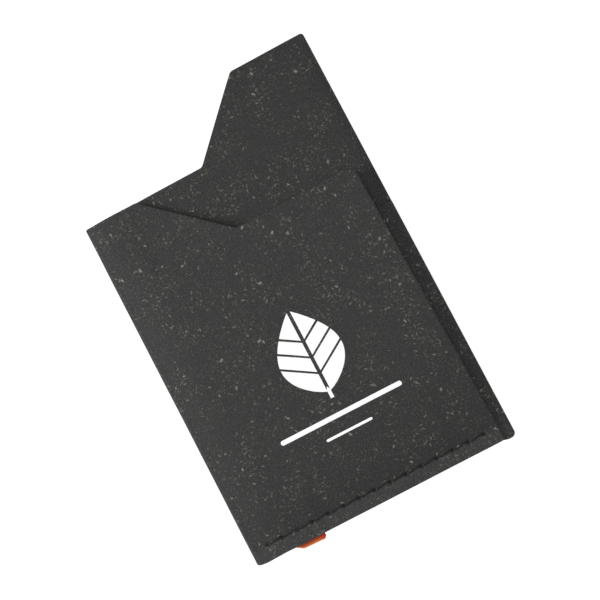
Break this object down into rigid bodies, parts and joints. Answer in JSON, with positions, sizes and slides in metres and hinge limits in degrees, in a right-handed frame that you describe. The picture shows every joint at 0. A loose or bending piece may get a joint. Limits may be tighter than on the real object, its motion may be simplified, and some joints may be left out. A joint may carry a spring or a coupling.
{
  "type": "card holder",
  "caption": "Slim folded card holder in recycled bonded leather with a thumb notch, a tall back tab, a stitched bottom edge and a short ribbon tab.",
  "frame": {"origin": "middle of the underside of the bounding box, with the holder lying on its back", "axes": "+Y along the height towards the tall tab, +X across the width with the left fold at -X, +Z out of the front panel"},
  "size_m": [0.065, 0.1038, 0.0055],
  "materials": {
    "leather": "matt charcoal bonded leather with fine pale and olive fibre flecks",
    "thread": "black twisted polyester sewing thread",
    "ribbon": "orange woven satin ribbon"
  },
  "bodies": {
    "holder": {"back_panel": "leather", "left_fold": "leather", "right_fold": "leather", "inner_flap": "leather", "front_panel": "leather", "needle_thread": "thread", "bobbin_thread": "thread", "ribbon_tab": "ribbon"},
    "front_corner": {"front_corner": "leather"},
    "back_tab": {"back_tab": "leather"}
  },
  "joints": [
    {"name": "front_corner_lift", "type": "hinge", "parent": "holder", "child": "front_corner", "pos_m": [0.0305, -0.0454, 0.0034], "axis": [0.6019, -0.7986, 0], "range_deg": [0, 25], "stiffness_Nm_per_rad": 0.03},
    {"name": "back_tab_flex", "type": "hinge", "parent": "holder", "child": "back_tab", "pos_m": [0, 0.0369, 0.00055], "axis": [1, 0, 0], "range_deg": [-12, 12], "stiffness_Nm_per_rad": 0.05}
  ]
}
